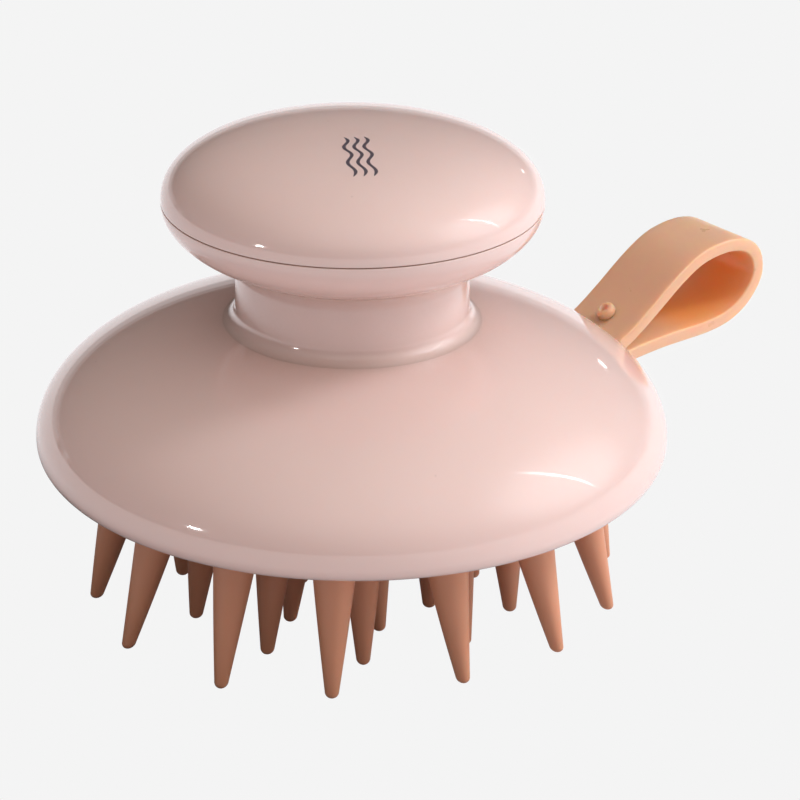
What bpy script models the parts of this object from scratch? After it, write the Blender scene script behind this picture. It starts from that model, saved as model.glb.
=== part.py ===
"""Palm-held scalp massager brush: a knob grip on a domed shell, cone bristles and a hanging strap.

Metres, +Z up. The origin lies on the dome's axis, in the plane of the bristle tips. The strap
points along +X.
"""

import math

import bmesh
import bpy

GAP = 0.0003

# Domed shell
DOME_RADIUS = 0.0475
DOME_WIDEST_Z = 0.0242
DOME_RISE = 0.01935
DOME_POWER = 2.07
DOME_WALL = 0.0022
RIM_ROUND = 0.0025
RIM_INNER_RADIUS = 0.0432
RIM_LEDGE_Z = 0.0252
SEAT_RADIUS = 0.0197
SEAT_Z = 0.0412
SEAT_UNDER_Z = 0.0389
SEAT_HOLE_RADIUS = 0.0060

# Grip: foot, waist and bowl, up to the seam with the cap
FOOT_RADIUS = 0.0194
FOOT_BOTTOM_Z = 0.0414
FOOT_EDGE_Z = 0.0422
FOOT_FILLET = 0.0020
NECK_RADIUS = 0.0174
NECK_TOP_Z = 0.0498
KNOB_RADIUS = 0.0281
SEAM_Z = 0.0609
BOWL_DEPTH = 0.01104
BOWL_POWER = 2.05
BOWL_FILLET_RADIUS = 0.0200
GRIP_WALL = 0.0022
GRIP_FLOOR_Z = 0.0436

# Cap that closes the knob
CAP_HEIGHT = 0.0104
CAP_POWER = 2.33
CAP_WALL = 0.0020
SKIRT_RADIUS = 0.0251
SKIRT_WALL = 0.0014
SKIRT_BOTTOM_Z = 0.0593

# Screws that hold the grip on the shell
SCREW_CIRCLE = 0.0110
SCREW_ANGLES = (60, 180, 300)
SCREW_SHANK_RADIUS = 0.00135
SCREW_HEAD_RADIUS = 0.0027
SCREW_HEAD_BOTTOM_Z = 0.0369
SCREW_HEAD_TOP_Z = 0.0387
SCREW_END_Z = 0.0485
BOSS_RADIUS = 0.0031
BOSS_TOP_Z = 0.0505

# Bristle pad and the plate that carries it
PAD_RADIUS = 0.0429
PAD_BOTTOM_Z = 0.0219
PAD_TOP_Z = 0.0233
PLATE_BOTTOM_Z = 0.0235
PLATE_TOP_Z = 0.0249
SNAP_ANGLES = (45, 135, 225, 315)

# Bristles: (name, count, first angle, tip circle, lean outward in degrees)
BRISTLE_RINGS = (
    ("outer", 15, -8.0, 0.0404, 15.0),
    ("middle", 12, -2.0, 0.0293, 10.5),
    ("inner", 10, -9.5, 0.0190, 6.5),
    ("core", 5, 32.0, 0.0090, 3.0),
    ("centre", 1, 0.0, 0.0, 0.0),
)
BRISTLE_BASE_Z = 0.02185
BRISTLE_BASE_RADIUS = 0.0036
BRISTLE_TIP_RADIUS = 0.00105
BRISTLE_TIP_FLAT = 0.00045
BRISTLE_TIP_ROUND = 0.0009

# The soft cones that don't stand evenly: (turn of the whole cone in degrees, further turn of the
# tip in degrees, tip outward)
BRISTLE_BENDS = {
    "outer_07": (-3.0, -1.5, -0.0006),
    "outer_08": (0.0, -2.5, -0.0005),
    "outer_09": (-2.6, -0.3, 0.0012),
    "outer_10": (-2.6, 1.1, 0.0012),
    "outer_11": (-2.8, 0.0, -0.0004),
    "outer_12": (-0.8, 2.5, -0.0015),
    "outer_13": (0.0, 2.3, -0.0004),
    "outer_14": (0.0, 0.6, 0.0004),
    "outer_15": (0.0, 0.4, -0.0008),
    "middle_06": (0.0, 0.3, -0.0033),
    "middle_07": (0.0, 0.0, -0.0010),
    "middle_08": (0.0, 0.8, 0.0005),
    "middle_09": (-1.5, 0.0, 0.0009),
    "middle_11": (-4.0, -0.7, -0.0018),
    "inner_07": (0.0, -1.4, 0.0004),
    "inner_08": (1.0, 1.4, 0.0014),
    "inner_09": (-2.2, 0.0, -0.0018),
}

# Strap: half width, thickness and the middle line of the band, as (x, z)
STRAP_HALF_WIDTH = 0.0065
STRAP_THICKNESS = 0.0021
STRAP_LINE = (
    (0.0408, 0.0277),
    (0.0434, 0.0265),
    (0.0461, 0.0255),
    (0.0490, 0.0250),
    (0.0520, 0.02525),
    (0.0575, 0.0257),
    (0.0625, 0.0258),
    (0.0671, 0.0259),
    (0.0716, 0.0266),
    (0.0753, 0.0286),
    (0.0776, 0.0316),
    (0.0780, 0.0340),
    (0.0772, 0.0364),
    (0.0752, 0.0381),
    (0.0723, 0.0389),
    (0.0690, 0.0389),
    (0.0648, 0.0380),
    (0.0603, 0.0354),
    (0.0557, 0.0319),
    (0.0512, 0.0287),
    (0.0486, 0.0273),
)
STRAP_STEPS = 3
EYE_RADIUS = 0.0030
BAR_RADIUS = 0.0012
BAR_X = 0.0388
BAR_Z = 0.0286
BAR_HALF_LENGTH = 0.0096
STUD_FOOT = (0.0543, 0.0255)
STUD_LEAN = 35.0
STUD_STEM_RADIUS = 0.0009
STUD_HEAD_RADIUS = 0.00155
STUD_HEAD_FROM = 0.0057
STUD_HEAD_HEIGHT = 0.0014
STUD_HOLE_RADIUS = 0.0012

# Slot in the shell for the strap, and the two ribs that hold its bar
SLOT_HALF_WIDTH = 0.0073
SLOT_LOW_Z = 0.0228
SLOT_HIGH_Z = 0.0294
RIB_INNER_Y = 0.0077
RIB_OUTER_Y = 0.0099
RIB_LOW_X = 0.0362
RIB_LOW_Z = 0.0257

DOME_STEPS = 56
KNOB_STEPS = 48
SCREW_STEPS = 12
BRISTLE_STEPS = 12


def clear_scene():
    for item in list(bpy.data.objects):
        bpy.data.objects.remove(item)


def new_collection(name, hidden=False):
    made = bpy.data.collections.new(name)
    made.hide_render = hidden
    bpy.context.scene.collection.children.link(made)
    return made


def new_material(name, colour, roughness):
    made = bpy.data.materials.new(name)
    made.use_nodes = True
    shader = made.node_tree.nodes["Principled BSDF"]
    shader.inputs["Base Color"].default_value = (*colour, 1.0)
    shader.inputs["Roughness"].default_value = roughness
    return made


def new_object(name, points, edges, faces, collection, material=None):
    mesh = bpy.data.meshes.new(name)
    mesh.from_pydata(points, edges, faces)
    if material:
        mesh.materials.append(material)
    made = bpy.data.objects.new(name, mesh)
    collection.objects.link(made)
    if collection.hide_render:
        made.hide_render = True
        made.display_type = "WIRE"
    return made


def smooth(item, angle=35):
    for face in item.data.polygons:
        face.use_smooth = True
    item.data.set_sharp_from_angle(angle=math.radians(angle))


def curve_r(z, radius, height, power):
    """The radius of a superellipse at height z above its widest circle."""
    return radius * max(0.0, 1 - abs(z / height) ** power) ** (1 / power)


def curve_z(r, radius, height, power):
    """The height of a superellipse above its widest circle at radius r."""
    return height * max(0.0, 1 - abs(r / radius) ** power) ** (1 / power)


def quarter(radius, height, power, base_z, r_from, r_to, count):
    """Points (r, z) along a superellipse quarter, evenly spaced by angle from r_from to r_to."""
    start = math.acos(min(1.0, (r_from / radius) ** (power / 2)))
    end = math.acos(min(1.0, (r_to / radius) ** (power / 2)))
    points = []
    for index in range(count + 1):
        turn = start + (end - start) * index / count
        r = radius * max(0.0, math.cos(turn)) ** (2 / power)
        z = base_z + height * max(0.0, math.sin(turn)) ** (2 / power)
        points.append((r, z))
    return points


def arc(centre, radius, start, end, count):
    """Points (r, z) on a circle, from angle start to angle end in degrees."""
    points = []
    for index in range(count + 1):
        turn = math.radians(start + (end - start) * index / count)
        points.append((centre[0] + radius * math.cos(turn), centre[1] + radius * math.sin(turn)))
    return points


def blend_corner(before, corner, after, count):
    """A smooth curve from before to after that bends at corner."""
    points = []
    for index in range(count + 1):
        t = index / count
        r = (1 - t) ** 2 * before[0] + 2 * t * (1 - t) * corner[0] + t * t * after[0]
        z = (1 - t) ** 2 * before[1] + 2 * t * (1 - t) * corner[1] + t * t * after[1]
        points.append((r, z))
    return points


def turned(name, profile, steps, collection, material=None, loop=False):
    """A round solid: the profile (r, z), turned about Z. It runs down the outer side first."""
    points = [(r, 0, z) for r, z in profile]
    edges = [(index, index + 1) for index in range(len(points) - 1)]
    if loop:
        edges.append((len(points) - 1, 0))
    made = new_object(name, points, edges, [], collection, material)
    screw = made.modifiers.new("turn", "SCREW")
    screw.axis = "Z"
    screw.angle = math.radians(360)
    screw.steps = steps
    screw.render_steps = steps
    screw.use_merge_vertices = True
    screw.merge_threshold = 0.00001
    screw.use_smooth_shade = True
    return made


def block(name, low, high, collection, bevel=0.0):
    """A box between two corners, with its edges rounded where bevel is given."""
    mesh = bpy.data.meshes.new(name)
    shape = bmesh.new()
    bmesh.ops.create_cube(shape, size=1.0)
    for vertex in shape.verts:
        for axis in range(3):
            vertex.co[axis] = low[axis] + (vertex.co[axis] + 0.5) * (high[axis] - low[axis])
    if bevel:
        bmesh.ops.bevel(shape, geom=shape.edges[:], offset=bevel, segments=3, affect="EDGES", profile=0.5)
    shape.to_mesh(mesh)
    shape.free()
    made = bpy.data.objects.new(name, mesh)
    collection.objects.link(made)
    made.hide_render = True
    made.display_type = "WIRE"
    return made


def rod(name, radius, low, high, steps, collection, top_radius=None):
    """An upright cylinder from z = low to z = high about its own Z axis."""
    mesh = bpy.data.meshes.new(name)
    shape = bmesh.new()
    top = radius if top_radius is None else top_radius
    bmesh.ops.create_cone(
        shape, cap_ends=True, segments=steps, radius1=radius, radius2=top, depth=high - low
    )
    bmesh.ops.translate(shape, verts=shape.verts[:], vec=(0, 0, (low + high) / 2))
    shape.to_mesh(mesh)
    shape.free()
    made = bpy.data.objects.new(name, mesh)
    collection.objects.link(made)
    if collection.hide_render:
        made.hide_render = True
        made.display_type = "WIRE"
    return made


def boolean(target, other, operation):
    step = target.modifiers.new(other.name, "BOOLEAN")
    step.operation = operation
    step.solver = "EXACT"
    step.object = other


def dome_outer(count):
    """The shell's outer side from the seat's edge down to the bottom of the rim."""
    side = quarter(DOME_RADIUS, DOME_RISE, DOME_POWER, DOME_WIDEST_Z, SEAT_RADIUS, DOME_RADIUS, count)
    centre = (DOME_RADIUS - RIM_ROUND, DOME_WIDEST_Z)
    under = arc(centre, RIM_ROUND, 0, -90, 5)
    return side + under[1:]


def dome_inner(count):
    """The shell's inner side from the rim's ledge up to the underside of the seat."""
    radius = DOME_RADIUS - DOME_WALL
    height = DOME_RISE - DOME_WALL
    r_low = curve_r(RIM_LEDGE_Z - DOME_WIDEST_Z, radius, height, DOME_POWER)
    r_high = curve_r(SEAT_UNDER_Z - DOME_WIDEST_Z, radius, height, DOME_POWER)
    side = quarter(radius, height, DOME_POWER, DOME_WIDEST_Z, r_low, r_high, count)
    return [(r_low, RIM_LEDGE_Z)] + side[1:-1] + [(r_high, SEAT_UNDER_Z)]


def build_dome_shell(parts, helpers, material):
    bottom_z = DOME_WIDEST_Z - RIM_ROUND
    profile = [(SEAT_HOLE_RADIUS, SEAT_Z), (SEAT_RADIUS, SEAT_Z)]
    profile += dome_outer(14)
    profile += [(RIM_INNER_RADIUS + 0.0004, bottom_z), (RIM_INNER_RADIUS, bottom_z + 0.0004)]
    profile += [(RIM_INNER_RADIUS, RIM_LEDGE_Z)]
    profile += dome_inner(7)
    profile += [(SEAT_HOLE_RADIUS, SEAT_UNDER_Z)]
    shell = turned("dome_shell", profile, DOME_STEPS, parts, material, loop=True)

    middle = DOME_WALL / 2
    core_side = quarter(
        DOME_RADIUS - middle, DOME_RISE - middle, DOME_POWER, DOME_WIDEST_Z, 0.0, DOME_RADIUS - middle, 20
    )
    core = turned("rib_limit", core_side + [(0.0, DOME_WIDEST_Z)], DOME_STEPS, helpers)
    for name, side in (("rib_left", 1), ("rib_right", -1)):
        near = min(side * RIB_INNER_Y, side * RIB_OUTER_Y)
        far = max(side * RIB_INNER_Y, side * RIB_OUTER_Y)
        rib = block(name, (RIB_LOW_X, near, RIB_LOW_Z), (0.050, far, 0.040), helpers)
        boolean(rib, core, "INTERSECT")
        boolean(shell, rib, "UNION")

    slot = block(
        "strap_slot",
        (0.0430, -SLOT_HALF_WIDTH, SLOT_LOW_Z),
        (0.0530, SLOT_HALF_WIDTH, SLOT_HIGH_Z),
        helpers,
        bevel=0.0012,
    )
    boolean(shell, slot, "DIFFERENCE")

    bore = rod("bar_bore", BAR_RADIUS + GAP, -0.013, 0.013, 16, helpers)
    bore.rotation_euler = (math.radians(90), 0, 0)
    bore.location = (BAR_X, 0, BAR_Z)
    boolean(shell, bore, "DIFFERENCE")

    for number, angle in enumerate(SCREW_ANGLES, 1):
        hole = rod(f"seat_hole_{number}", SCREW_SHANK_RADIUS + GAP, 0.037, 0.043, SCREW_STEPS, helpers)
        hole.location = on_circle(SCREW_CIRCLE, angle)
        boolean(shell, hole, "DIFFERENCE")


def on_circle(radius, angle, z=0.0):
    turn = math.radians(angle)
    return (radius * math.cos(turn), radius * math.sin(turn), z)


def grip_outer():
    """The grip's outer side from the seam down to the foot."""
    top = SEAM_Z - GAP / 2
    bowl = quarter(KNOB_RADIUS, BOWL_DEPTH, BOWL_POWER, 0.0, KNOB_RADIUS, BOWL_FILLET_RADIUS, 9)
    side = [(KNOB_RADIUS, top)] + [(r, SEAM_Z - z) for r, z in bowl[1:]]
    depth = curve_z(NECK_RADIUS, KNOB_RADIUS, BOWL_DEPTH, BOWL_POWER)
    corner = (NECK_RADIUS, SEAM_Z - depth)
    waist = blend_corner(side[-1], corner, (NECK_RADIUS, NECK_TOP_Z), 5)
    foot_centre = (NECK_RADIUS + FOOT_FILLET, FOOT_EDGE_Z + FOOT_FILLET)
    foot = arc(foot_centre, FOOT_FILLET, 180, 270, 4)
    return side + waist[1:] + foot + [(FOOT_RADIUS, FOOT_BOTTOM_Z)]


def grip_inner():
    """The grip's inner side from the floor up to the seam."""
    radius = KNOB_RADIUS - GRIP_WALL
    depth = BOWL_DEPTH - GRIP_WALL
    neck = NECK_RADIUS - GRIP_WALL
    low = SEAM_Z - curve_z(neck, radius, depth, BOWL_POWER)
    bowl = quarter(radius, depth, BOWL_POWER, 0.0, neck, radius, 5)
    side = [(r, SEAM_Z - z) for r, z in bowl[:-1]]
    return [(0.0, GRIP_FLOOR_Z), (neck, GRIP_FLOOR_Z), (neck, low)] + side[1:] + [(radius, SEAM_Z - GAP / 2)]


def build_grip_body(parts, helpers, material):
    outer = grip_outer()
    profile = outer + [(0.0, FOOT_BOTTOM_Z)]
    inner = grip_inner()
    body = turned("grip_body", inner + profile, KNOB_STEPS, parts, material)
    for number, angle in enumerate(SCREW_ANGLES, 1):
        place = on_circle(SCREW_CIRCLE, angle)
        boss = rod(f"boss_{number}", BOSS_RADIUS, GRIP_FLOOR_Z - 0.001, BOSS_TOP_Z, 16, helpers)
        boss.location = place
        boolean(body, boss, "UNION")
        hole_radius = SCREW_SHANK_RADIUS + GAP
        hole = rod(f"boss_hole_{number}", hole_radius, 0.040, SCREW_END_Z + 0.0008, SCREW_STEPS, helpers)
        hole.location = place
        boolean(body, hole, "DIFFERENCE")


def build_grip_cap(parts, material):
    seam = SEAM_Z + GAP / 2
    outer = quarter(KNOB_RADIUS, CAP_HEIGHT, CAP_POWER, SEAM_Z, 0.0, KNOB_RADIUS, 13)
    outer = [(r, max(z, seam)) for r, z in outer]
    inner_radius = KNOB_RADIUS - CAP_WALL
    inner_height = CAP_HEIGHT - CAP_WALL
    skirt_inner = SKIRT_RADIUS - SKIRT_WALL
    root_z = SEAM_Z + curve_z(skirt_inner, inner_radius, inner_height, CAP_POWER)
    skirt = [
        (SKIRT_RADIUS, seam),
        (SKIRT_RADIUS, SKIRT_BOTTOM_Z + 0.0005),
        (SKIRT_RADIUS - 0.0005, SKIRT_BOTTOM_Z),
        (skirt_inner, SKIRT_BOTTOM_Z),
        (skirt_inner, root_z),
    ]
    inner = quarter(inner_radius, inner_height, CAP_POWER, SEAM_Z, skirt_inner, 0.0, 7)
    turned("grip_cap", outer + skirt + inner[1:], KNOB_STEPS, parts, material)


def build_screws(parts, helpers, material):
    profile = [
        (0.0, SCREW_END_Z),
        (SCREW_SHANK_RADIUS - 0.0005, SCREW_END_Z),
        (SCREW_SHANK_RADIUS, SCREW_END_Z - 0.0009),
        (SCREW_SHANK_RADIUS, SCREW_HEAD_TOP_Z),
        (SCREW_HEAD_RADIUS, SCREW_HEAD_TOP_Z),
        (SCREW_HEAD_RADIUS, SCREW_HEAD_BOTTOM_Z + 0.0005),
        (SCREW_HEAD_RADIUS - 0.0005, SCREW_HEAD_BOTTOM_Z),
        (0.0, SCREW_HEAD_BOTTOM_Z),
    ]
    socket = rod("socket", 0.0013, SCREW_HEAD_BOTTOM_Z - 0.001, SCREW_HEAD_BOTTOM_Z + 0.0011, 6, helpers)
    for number, angle in enumerate(SCREW_ANGLES, 1):
        screw = turned(f"neck_screw_{number}", profile, SCREW_STEPS, parts, material)
        hollow = socket.copy()
        helpers.objects.link(hollow)
        boolean(screw, hollow, "DIFFERENCE")
        screw.location = on_circle(SCREW_CIRCLE, angle)
        hollow.location = screw.location
    bpy.data.objects.remove(socket)


def build_pad(parts, material):
    edge = 0.0004
    profile = [
        (0.0, PAD_TOP_Z),
        (PAD_RADIUS, PAD_TOP_Z),
        (PAD_RADIUS, PAD_BOTTOM_Z + edge),
        (PAD_RADIUS - edge, PAD_BOTTOM_Z),
        (0.0, PAD_BOTTOM_Z),
    ]
    turned("bristle_pad", profile, 48, parts, material)


def build_plate(parts, helpers, material):
    """The plate behind the pad, with four snap hooks that catch on the rim's ledge."""
    profile = [
        (0.0, PLATE_TOP_Z),
        (PAD_RADIUS, PLATE_TOP_Z),
        (PAD_RADIUS, PLATE_BOTTOM_Z),
        (0.0, PLATE_BOTTOM_Z),
    ]
    plate = turned("pad_plate", profile, 48, parts, material)
    for number, angle in enumerate(SNAP_ANGLES, 1):
        post = block(f"snap_post_{number}", (0.0408, -0.004, 0.0240), (0.0425, 0.004, 0.0276), helpers)
        hook = block(f"snap_hook_{number}", (0.0415, -0.004, 0.0256), (0.0440, 0.004, 0.0270), helpers)
        for piece in (post, hook):
            piece.rotation_euler = (0, 0, math.radians(angle))
        boolean(post, hook, "UNION")
        boolean(plate, post, "UNION")


def bristle_rings(angle, tip_circle, lean, bend):
    """(height, radius, angle and distance of the middle from the dome's axis) for each ring."""
    rise = [
        (0.0, BRISTLE_TIP_FLAT),
        (BRISTLE_TIP_ROUND * 0.30, BRISTLE_TIP_RADIUS * 0.82),
        (BRISTLE_TIP_ROUND, BRISTLE_TIP_RADIUS * 1.06),
        (BRISTLE_BASE_Z, BRISTLE_BASE_RADIUS),
    ]
    slope = math.tan(math.radians(lean))
    turn, tip_turn, tip_out = bend
    rings = []
    for z, radius in rise:
        reach = 1 - z / BRISTLE_BASE_Z
        distance = tip_circle - z * slope + tip_out * reach
        rings.append((z, radius, angle + turn + tip_turn * reach, distance))
    return rings


def build_bristle(name, rings, parts, material):
    points = []
    for z, radius, angle, distance in rings:
        middle = on_circle(distance, angle)
        for step in range(BRISTLE_STEPS):
            turn = math.radians(angle) + 2 * math.pi * step / BRISTLE_STEPS
            points.append((middle[0] + radius * math.cos(turn), middle[1] + radius * math.sin(turn), z))
    faces = [tuple(reversed(range(BRISTLE_STEPS)))]
    for ring in range(len(rings) - 1):
        low = ring * BRISTLE_STEPS
        for step in range(BRISTLE_STEPS):
            after = (step + 1) % BRISTLE_STEPS
            faces.append((low + step, low + after, low + BRISTLE_STEPS + after, low + BRISTLE_STEPS + step))
    top = (len(rings) - 1) * BRISTLE_STEPS
    faces.append(tuple(range(top, top + BRISTLE_STEPS)))
    made = new_object(name, points, [], faces, parts, material)
    smooth(made, 50)


def build_bristles(parts, material):
    for name, count, first, tip_circle, lean in BRISTLE_RINGS:
        for index in range(count):
            label = f"{name}_{index + 1:02d}"
            bend = BRISTLE_BENDS.get(label, (0.0, 0.0, 0.0))
            rings = bristle_rings(first + 360 * index / count, tip_circle, lean, bend)
            build_bristle(f"bristle_{label}", rings, parts, material)


def smooth_line(points, steps):
    """A curve through all the points, with extra points between each pair."""
    line = []
    last = len(points) - 1
    for index in range(last):
        a = points[max(0, index - 1)]
        b = points[index]
        c = points[index + 1]
        d = points[min(last, index + 2)]
        for step in range(steps):
            t = step / steps
            line.append(
                tuple(
                    0.5
                    * (
                        2 * b[k]
                        + (c[k] - a[k]) * t
                        + (2 * a[k] - 5 * b[k] + 4 * c[k] - d[k]) * t * t
                        + (3 * b[k] - a[k] - 3 * c[k] + d[k]) * t * t * t
                    )
                    for k in range(2)
                )
            )
    line.append(points[-1])
    return line


def build_band(parts, material):
    """The strap's band: a strip of even thickness that follows its middle line."""
    line = smooth_line(STRAP_LINE, STRAP_STEPS)
    half = STRAP_THICKNESS / 2
    points = []
    for index, (x, z) in enumerate(line):
        back = line[max(0, index - 1)]
        ahead = line[min(len(line) - 1, index + 1)]
        length = math.hypot(ahead[0] - back[0], ahead[1] - back[1])
        side = (-(ahead[1] - back[1]) / length * half, (ahead[0] - back[0]) / length * half)
        for y in (-STRAP_HALF_WIDTH, STRAP_HALF_WIDTH):
            points.append((x + side[0], y, z + side[1]))
            points.append((x - side[0], y, z - side[1]))
    faces = [(0, 1, 3, 2)]
    for index in range(len(line) - 1):
        a = 4 * index
        b = a + 4
        faces.append((a, b, b + 1, a + 1))
        faces.append((a + 2, a + 3, b + 3, b + 2))
        faces.append((a, a + 2, b + 2, b))
        faces.append((a + 1, b + 1, b + 3, a + 3))
    end = 4 * (len(line) - 1)
    faces.append((end, end + 2, end + 3, end + 1))
    band = new_object("strap", points, [], faces, parts, material)
    shape = bmesh.new()
    shape.from_mesh(band.data)
    bmesh.ops.recalc_face_normals(shape, faces=shape.faces[:])
    shape.to_mesh(band.data)
    shape.free()
    bevel = band.modifiers.new("edges", "BEVEL")
    bevel.width = 0.0003
    bevel.segments = 2
    bevel.limit_method = "ANGLE"
    bevel.angle_limit = math.radians(50)
    return band


def lean_stud(item):
    """Stands a stud piece on the lower leg, leaning so that it leaves the upper leg squarely."""
    item.rotation_euler = (0, -math.radians(STUD_LEAN), 0)
    item.location = (STUD_FOOT[0], 0, STUD_FOOT[1])


def build_strap(parts, helpers, material):
    band = build_band(parts, material)

    eye = rod("strap_eye", EYE_RADIUS, -STRAP_HALF_WIDTH, STRAP_HALF_WIDTH, 28, helpers)
    eye.rotation_euler = (math.radians(90), 0, 0)
    eye.location = (BAR_X, 0, BAR_Z)
    boolean(band, eye, "UNION")
    bore = rod("eye_bore", BAR_RADIUS + GAP, -0.010, 0.010, 18, helpers)
    bore.rotation_euler = (math.radians(90), 0, 0)
    bore.location = (BAR_X, 0, BAR_Z)
    boolean(band, bore, "DIFFERENCE")

    hole = rod("stud_hole", STUD_HOLE_RADIUS, 0.0026, 0.0076, 18, helpers)
    lean_stud(hole)
    boolean(band, hole, "DIFFERENCE")
    head_top = STUD_HEAD_FROM + STUD_HEAD_HEIGHT
    profile = [
        (0.0, head_top - 0.0005),
        (STUD_HEAD_RADIUS * 0.22, head_top - 0.00045),
        (STUD_HEAD_RADIUS * 0.42, head_top - 0.0001),
        (STUD_HEAD_RADIUS * 0.62, head_top),
        (STUD_HEAD_RADIUS * 0.85, head_top - 0.00015),
        (STUD_HEAD_RADIUS, head_top - 0.0005),
        (STUD_HEAD_RADIUS, STUD_HEAD_FROM + 0.0002),
        (STUD_HEAD_RADIUS * 0.9, STUD_HEAD_FROM),
        (STUD_STEM_RADIUS, STUD_HEAD_FROM),
        (STUD_STEM_RADIUS, -0.0002),
        (0.0, -0.0002),
    ]
    stud = turned("stud", profile, 18, helpers)
    lean_stud(stud)
    boolean(band, stud, "UNION")


def build_bar(parts, material):
    bar = rod("strap_bar", BAR_RADIUS, -BAR_HALF_LENGTH, BAR_HALF_LENGTH, 16, parts)
    bar.data.materials.append(material)
    bar.rotation_euler = (math.radians(90), 0, 0)
    bar.location = (BAR_X, 0, BAR_Z)
    smooth(bar)


def main():
    clear_scene()
    parts = new_collection("scalp_massager_brush")
    helpers = new_collection("cutters", hidden=True)
    shell_pink = new_material("shell_pink", (0.74, 0.53, 0.49), 0.16)
    grip_pink = new_material("grip_pink", (0.74, 0.53, 0.49), 0.16)
    cap_pink = new_material("cap_pink", (0.74, 0.53, 0.49), 0.14)
    bristle_brown = new_material("bristle_brown", (0.34, 0.19, 0.13), 0.50)
    pad_brown = new_material("pad_brown", (0.34, 0.19, 0.13), 0.55)
    strap_peach = new_material("strap_peach", (0.66, 0.36, 0.22), 0.42)
    plate_pink = new_material("plate_pink", (0.70, 0.52, 0.48), 0.40)
    steel = new_material("steel", (0.60, 0.60, 0.62), 0.30)

    build_dome_shell(parts, helpers, shell_pink)
    build_grip_body(parts, helpers, grip_pink)
    build_grip_cap(parts, cap_pink)
    build_screws(parts, helpers, steel)
    build_pad(parts, pad_brown)
    build_plate(parts, helpers, plate_pink)
    build_bristles(parts, bristle_brown)
    build_strap(parts, helpers, strap_peach)
    build_bar(parts, steel)


main()
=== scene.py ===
import math

import bmesh
import bpy
from mathutils import Matrix, Vector


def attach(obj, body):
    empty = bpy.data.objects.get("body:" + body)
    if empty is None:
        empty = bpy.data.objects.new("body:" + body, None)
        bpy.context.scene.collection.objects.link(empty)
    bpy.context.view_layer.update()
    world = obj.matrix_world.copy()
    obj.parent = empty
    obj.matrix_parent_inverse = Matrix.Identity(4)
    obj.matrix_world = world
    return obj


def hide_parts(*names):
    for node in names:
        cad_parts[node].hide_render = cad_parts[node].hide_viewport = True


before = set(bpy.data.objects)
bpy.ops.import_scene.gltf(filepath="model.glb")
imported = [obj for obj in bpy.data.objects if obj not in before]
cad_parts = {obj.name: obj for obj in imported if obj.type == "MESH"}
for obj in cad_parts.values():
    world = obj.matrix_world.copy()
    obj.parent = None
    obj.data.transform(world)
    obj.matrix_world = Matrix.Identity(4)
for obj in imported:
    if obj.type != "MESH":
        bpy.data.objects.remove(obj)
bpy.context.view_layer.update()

BODY = "brush"
GAP = 0.0003
MERGE_DISTANCE = 1e-7

# Domed shell
DOME_RADIUS = 0.0475
DOME_WIDEST_Z = 0.0242
DOME_RISE = 0.01935
DOME_POWER = 2.07
DOME_WALL = 0.0022
RIM_ROUND = 0.0025
RIM_INNER_RADIUS = 0.0432
RIM_LEDGE_Z = 0.0252
LIP_EDGE = 0.0004
SEAT_RADIUS = 0.0150
SEAT_Z = 0.0412
SEAT_UNDER_Z = 0.0389
SEAT_HOLE_RADIUS = 0.0060

# Grip
FOOT_BOTTOM_Z = 0.0414
FOOT_FILLET = 0.0023
FOOT_LIFT = 0.00002
FOOT_LIP = 0.0001
NECK_RADIUS = 0.0174
NECK_TOP_Z = 0.0498
KNOB_RADIUS = 0.0281
SEAM_Z = 0.0609
SEAM_EDGE = 0.00010
SEAM_GAP = 0.00016
SEAM_DEPTH = 0.00035
SEAM_FLARE = 0.00004
SEAM_TIGHT = 0.00002
BOWL_DEPTH = 0.01104
BOWL_POWER = 2.05
BOWL_FILLET_RADIUS = 0.0200
GRIP_WALL = 0.0022
GRIP_FLOOR_Z = 0.0436

# Cap
CAP_HEIGHT = 0.0104
CAP_POWER = 2.33
CAP_WALL = 0.0020
SKIRT_RADIUS = 0.0251
SKIRT_WALL = 0.0014
SKIRT_BOTTOM_Z = 0.0593
SKIRT_EDGE = 0.0005

# Bristle pad and bristles
PAD_RADIUS = 0.0429
PAD_BOTTOM_Z = 0.0219
PAD_TOP_Z = 0.0233
PAD_GROOVE_RADIUS = 0.0400
PAD_GROOVE_FLOOR = 0.0002
PAD_GROOVE_MOUTH = 0.0005
PAD_GROOVE_DEPTH = 0.0003

# (ring, cones, angle of the first in degrees, radius of the circle of tips, outward lean in degrees)
BRISTLE_RINGS = (
    ("outer", 15, -8.0, 0.0404, 15.0),
    ("middle", 12, -2.0, 0.0293, 10.5),
    ("inner", 10, -9.5, 0.0190, 6.5),
    ("core", 5, 32.0, 0.0090, 3.0),
    ("centre", 1, 0.0, 0.0, 0.0),
)
BRISTLE_BASE_Z = 0.02185
BRISTLE_BASE_RADIUS = 0.0036
BRISTLE_TIP_RADIUS = 0.00105
BRISTLE_TIP_ROUND = 0.9
BRISTLE_BELLY = 0.00006
FLARE_HEIGHT = 0.0010
FLARE_START = 0.00016
BRISTLE_FLARE = 0.0007
BEND_POWER = 1.3

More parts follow.
